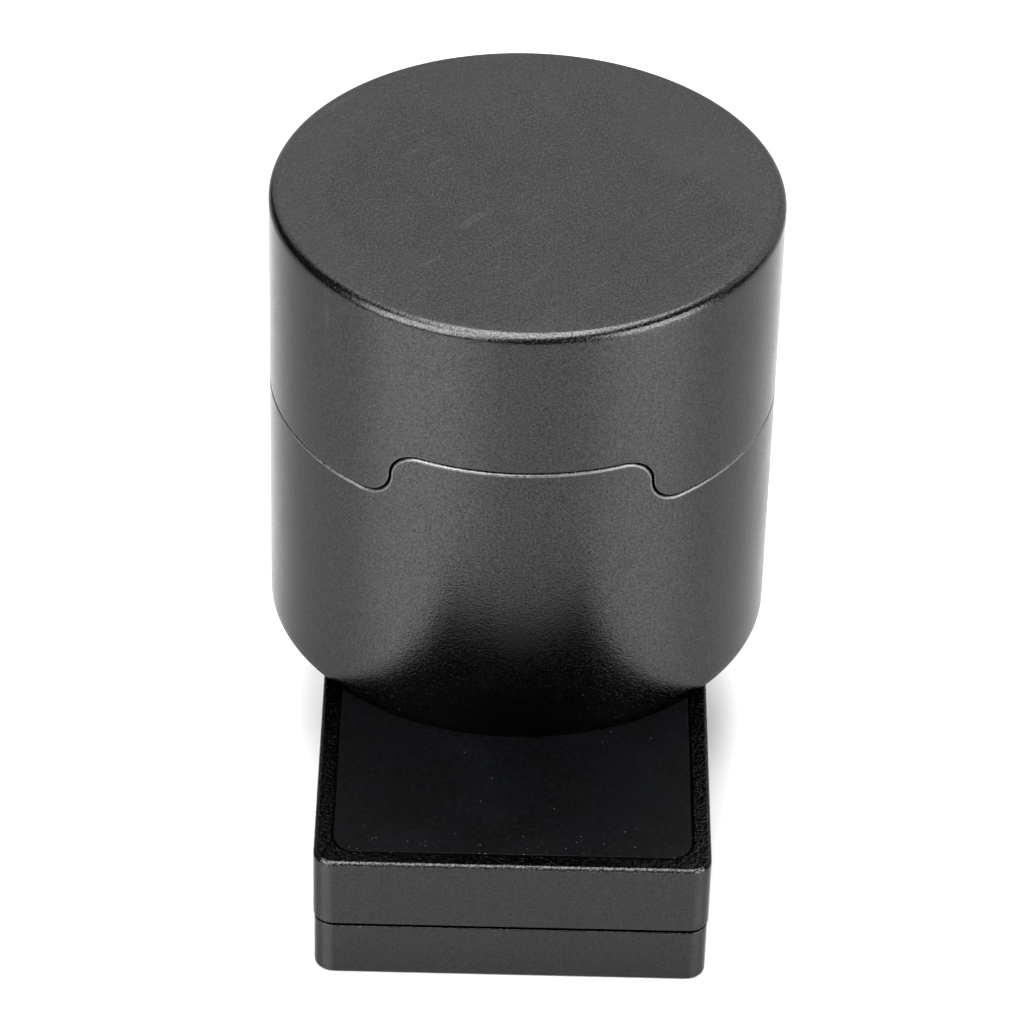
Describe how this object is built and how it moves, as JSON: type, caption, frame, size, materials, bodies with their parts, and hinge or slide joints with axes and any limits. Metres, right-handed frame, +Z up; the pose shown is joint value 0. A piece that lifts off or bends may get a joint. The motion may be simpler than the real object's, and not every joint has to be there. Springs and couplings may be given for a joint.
{
  "type": "capped survey prism",
  "caption": "Corner-cube survey prism in a round canister with a stepped lift-off cap, on a flat rectangular foot with an inlaid pad, magnets and a threaded bush.",
  "frame": {"origin": "centre of the foot's underside, below the canister's axis", "axes": "+Z up along the canister's axis and the line of sight, +Y from the front of the foot to its back, +X across the foot"},
  "size_m": [0.05, 0.0886, 0.062],
  "materials": {
    "anodised": "bead-blasted, dark grey anodised",
    "black_anodised": "matt black anodised",
    "black_foam": "closed-cell foam",
    "black_rubber": "moulded",
    "inlay_rubber": "matt, slightly dusty",
    "prism_glass": "polished, silvered on the three facets",
    "moulded_plastic": "moulded",
    "adhesive_film": "double-sided film",
    "steel": "stainless",
    "plated_steel": "nickel plated"
  },
  "bodies": {
    "foot": {"can_shell": "anodised", "prism_cell": "black_anodised", "cap_seal": "black_rubber", "prism_glass": "prism_glass", "prism_seat": "moulded_plastic", "seat_cushion": "black_rubber", "front_gasket": "black_rubber", "retaining_ring": "black_anodised", "cell_screws": "steel", "cell_washers": "steel", "can_dowels": "steel", "foot_top_shell": "anodised", "foot_inlay": "inlay_rubber", "inlay_tape": "adhesive_film", "foot_gasket": "black_rubber", "foot_bottom_shell": "anodised", "foot_screws": "steel", "mount_bush": "steel", "magnet_pots": "plated_steel", "magnet_discs": "plated_steel", "magnet_screws": "steel"},
    "cap": {"cap_shell": "anodised", "cap_liner": "black_foam"}
  },
  "joints": [
    {"name": "cap_lift", "type": "slide", "parent": "foot", "child": "cap", "axis": [0, 0, 1], "range_m": [0, 0.03]}
  ]
}
